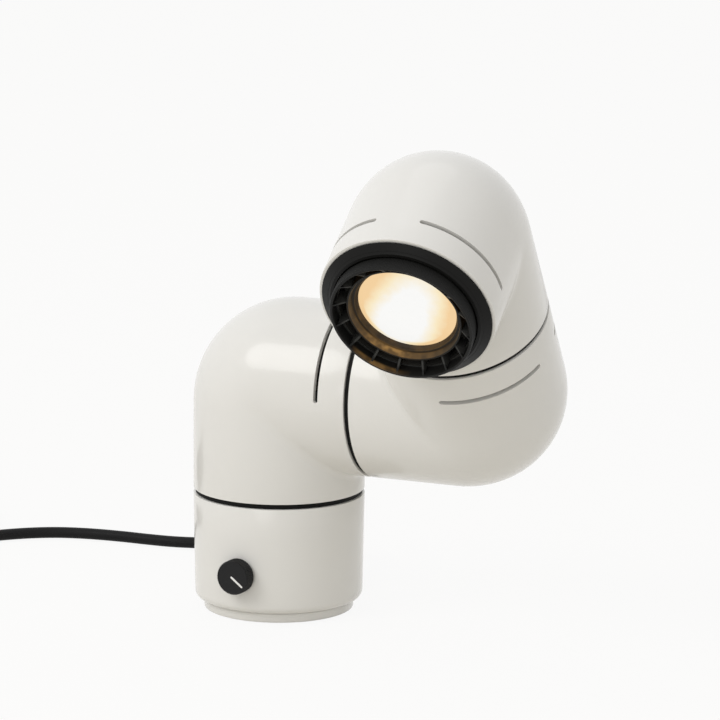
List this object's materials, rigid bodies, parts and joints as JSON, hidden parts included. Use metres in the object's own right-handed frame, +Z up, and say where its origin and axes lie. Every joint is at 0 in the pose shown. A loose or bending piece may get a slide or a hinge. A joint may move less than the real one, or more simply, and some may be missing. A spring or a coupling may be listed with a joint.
{
  "type": "table lamp",
  "caption": "Table lamp of a round weighted base and swivelling pipe elbows, with a dimmer knob, a knurled bulb collar and a mains cord.",
  "frame": {"origin": "middle of the foot pad's underside, on the surface that the lamp stands on", "axes": "+Z up along the base, -Y towards the dimmer knob, +Y towards the cord's exit, +X to the right seen from the knob's side"},
  "size_m": [0.5055, 0.2245, 0.2308],
  "materials": {
    "shell": "gloss",
    "black": "satin",
    "knob": "matte",
    "cord": "matte",
    "pad": "matte",
    "iron": "rough",
    "steel": "satin",
    "brass": "satin",
    "nylon": "matte",
    "board": "matte",
    "sleeve": "matte",
    "ceramic": "satin",
    "mirror": "mirrored",
    "glass": "frosted",
    "pointer": "satin"
  },
  "bodies": {
    "base": {"foot_pad": "pad", "plinth": "shell", "base_shell": "shell", "ballast_weight": "iron", "plinth_screw_1": "steel", "plinth_screw_2": "steel", "plinth_screw_3": "steel", "plinth_screw_4": "steel", "dimmer_board": "board", "dimmer_can": "steel", "dimmer_nut": "steel", "cord_clamp": "nylon", "clamp_screw_1": "steel", "clamp_screw_2": "steel", "base_lead": "sleeve", "riser_lead": "sleeve", "strain_relief": "cord", "power_cord": "cord", "cord_coil": "cord", "cord_tie": "pad", "plug_body": "cord", "plug_pin_1": "brass", "plug_pin_2": "brass", "coupling_disc_a": "black", "axle_tube_a": "brass", "lock_nut_a": "steel"},
    "dimmer_knob": {"dimmer_shaft": "steel", "dimmer_knob": "knob", "knob_pointer": "pointer"},
    "lower_elbow": {"lower_elbow_shell": "shell", "thrust_washer_a": "nylon", "spring_washer_a": "steel", "lower_lead": "sleeve", "coupling_disc_b": "black", "axle_tube_b": "brass", "lock_nut_b": "steel"},
    "middle_elbow": {"middle_elbow_shell": "shell", "thrust_washer_b": "nylon", "spring_washer_b": "steel", "middle_lead": "sleeve", "coupling_disc_c": "black", "axle_tube_c": "brass", "lock_nut_c": "steel"},
    "head": {"head_shell": "shell", "thrust_washer_c": "nylon", "spring_washer_c": "steel", "head_lead": "sleeve", "head_flange": "black", "holder_bracket": "steel", "bracket_screw_1": "steel", "bracket_screw_2": "steel", "lamp_holder": "ceramic", "bulb_glass": "glass", "bulb_reflector": "mirror", "bulb_foot": "ceramic", "bulb_pin_1": "steel", "bulb_pin_2": "steel"},
    "lamp_collar": {"lamp_collar": "black"}
  },
  "joints": [
    {"name": "dimmer_turn", "type": "hinge", "parent": "base", "child": "dimmer_knob", "pos_m": [0, -0.0395, 0.023], "axis": [0, 1, 0], "range_deg": [-281, 19]},
    {"name": "base_swivel", "type": "hinge", "parent": "base", "child": "lower_elbow", "pos_m": [0, 0, 0.0563], "axis": [0, 0, 1], "range_deg": [-165, 165]},
    {"name": "elbow_swivel", "type": "hinge", "parent": "lower_elbow", "child": "middle_elbow", "pos_m": [0.05113, 0.00262, 0.1075], "axis": [0.9987, 0.0511, 0], "range_deg": [-142.17, 77.83]},
    {"name": "head_swivel", "type": "hinge", "parent": "middle_elbow", "child": "head", "pos_m": [0.10366, -0.02199, 0.15084], "axis": [0.0272, -0.5317, 0.8465], "range_deg": [-165, 165]},
    {"name": "collar_twist", "type": "hinge", "parent": "head", "child": "lamp_collar", "pos_m": [0.11038, -0.09124, 0.16761], "axis": [0.1066, -0.8404, -0.5314], "range_deg": [0, 30]}
  ]
}
